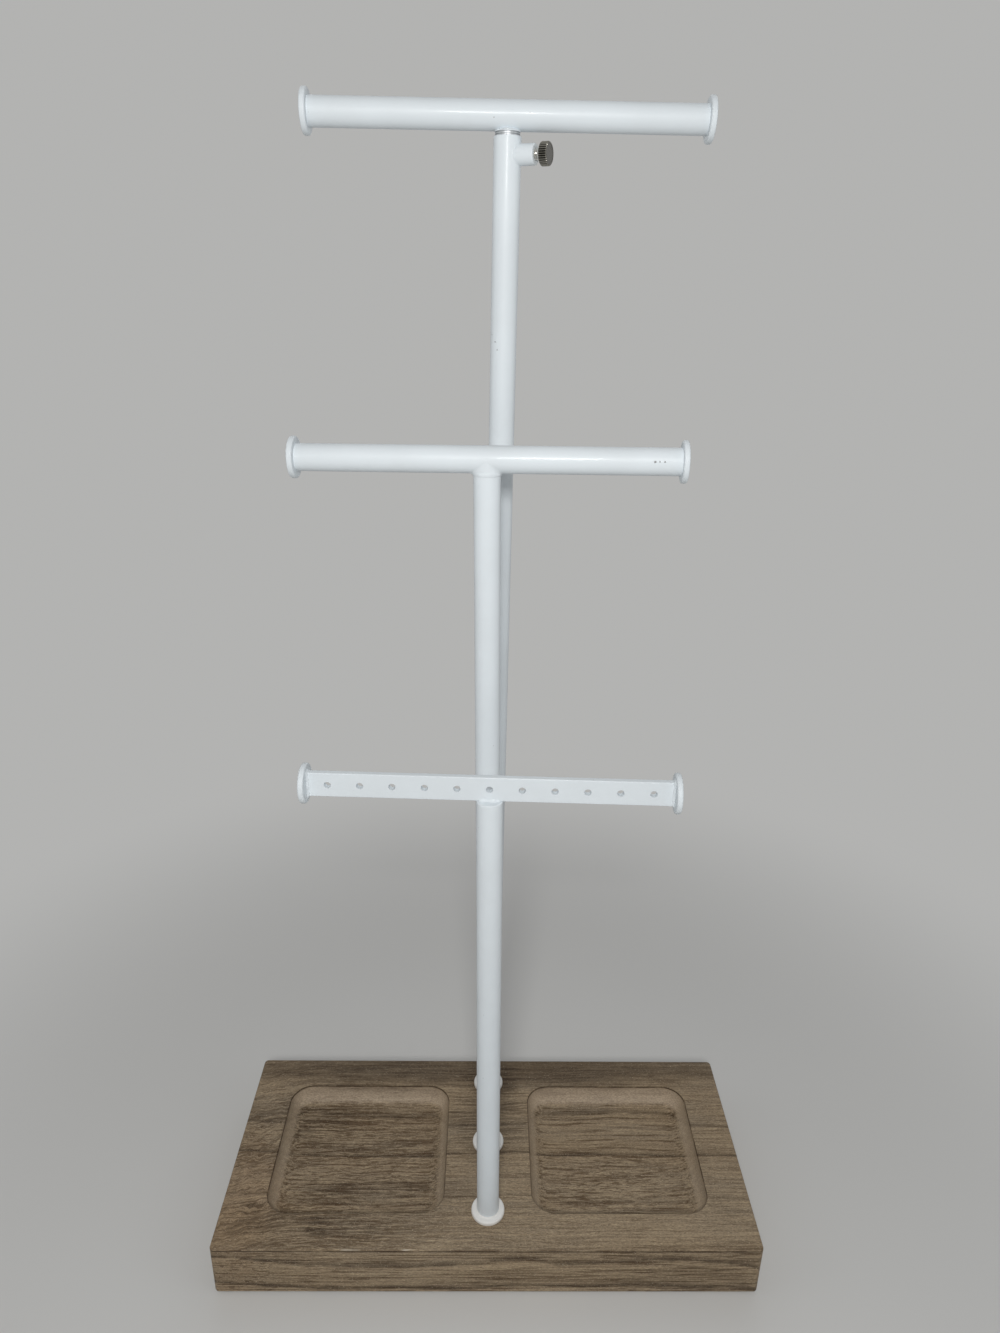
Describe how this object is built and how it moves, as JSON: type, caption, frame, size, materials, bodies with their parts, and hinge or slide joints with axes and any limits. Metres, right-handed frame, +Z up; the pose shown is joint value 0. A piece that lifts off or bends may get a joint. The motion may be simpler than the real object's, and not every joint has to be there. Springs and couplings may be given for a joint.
{
  "type": "tiered jewellery stand",
  "caption": "Tiered jewellery stand: wooden base with routed trays, a row of white metal posts with cross bars, and a telescoping, swivelling top bar held by a thumb screw.",
  "frame": {"origin": "under the middle of the base, on the surface the stand rests on", "axes": "+Z up, -Y towards the front of the base where the lowest post stands, +X to the right seen from the front, the side of the thumb screw"},
  "size_m": [0.25, 0.11, 0.4952],
  "materials": {
    "weathered_wood": "open-grained grey-brown wood, matt",
    "white_paint": "white powder coat, satin gloss",
    "bare_steel": "drawn tube with light scratches",
    "zinc_steel": "zinc plated",
    "dark_nickel": "dark nickel plate, knurled",
    "pad_foam": "soft matt foam rubber"
  },
  "bodies": {
    "stand": {"base_board": "weathered_wood", "base_pads": "pad_foam", "post_screws": "zinc_steel", "post_washers": "zinc_steel", "front_post_tube": "white_paint", "front_post_flange": "white_paint", "front_post_foot_plug": "zinc_steel", "front_post_top_plug": "white_paint", "middle_post_tube": "white_paint", "middle_post_flange": "white_paint", "middle_post_foot_plug": "zinc_steel", "rear_post_sleeve": "white_paint", "rear_post_flange": "white_paint", "rear_post_foot_plug": "zinc_steel", "earring_bar": "white_paint", "earring_bar_welds": "white_paint", "earring_bar_cap_left": "white_paint", "earring_bar_cap_right": "white_paint", "middle_bar_tube": "white_paint", "middle_bar_weld": "white_paint", "middle_bar_cap_left": "white_paint", "middle_bar_cap_right": "white_paint", "clamp_boss": "white_paint", "clamp_boss_weld": "white_paint"},
    "stem": {"top_stem_tube": "bare_steel"},
    "top_bar": {"top_bar_tube": "white_paint", "top_bar_weld": "white_paint", "top_bar_cap_left": "white_paint", "top_bar_cap_right": "white_paint", "top_bar_stub": "bare_steel"},
    "thumb_screw": {"thumb_screw_stud": "dark_nickel"},
    "knob": {"thumb_screw_knob": "dark_nickel"}
  },
  "joints": [
    {"name": "top_bar_slide", "type": "slide", "parent": "stand", "child": "stem", "axis": [0.0052, 0, 1], "range_m": [0, 0.1]},
    {"name": "top_bar_swivel", "type": "hinge", "parent": "stem", "child": "top_bar", "pos_m": [0.0024, 0.039, 0.48703], "axis": [0.0052, 0, 1], "continuous": true},
    {"name": "screw_travel", "type": "slide", "parent": "stand", "child": "thumb_screw", "axis": [0.9099, -0.4147, -0.0048], "range_m": [0, 0.0035]},
    {"name": "screw_turn", "type": "hinge", "parent": "thumb_screw", "child": "knob", "pos_m": [0.00233, 0.039, 0.47433], "axis": [0.9099, -0.4147, -0.0048], "range_deg": [0, 1800]}
  ],
  "couplings": [
    {"joint": "screw_turn", "follows": "screw_travel", "rad_per_m": 8976}
  ]
}
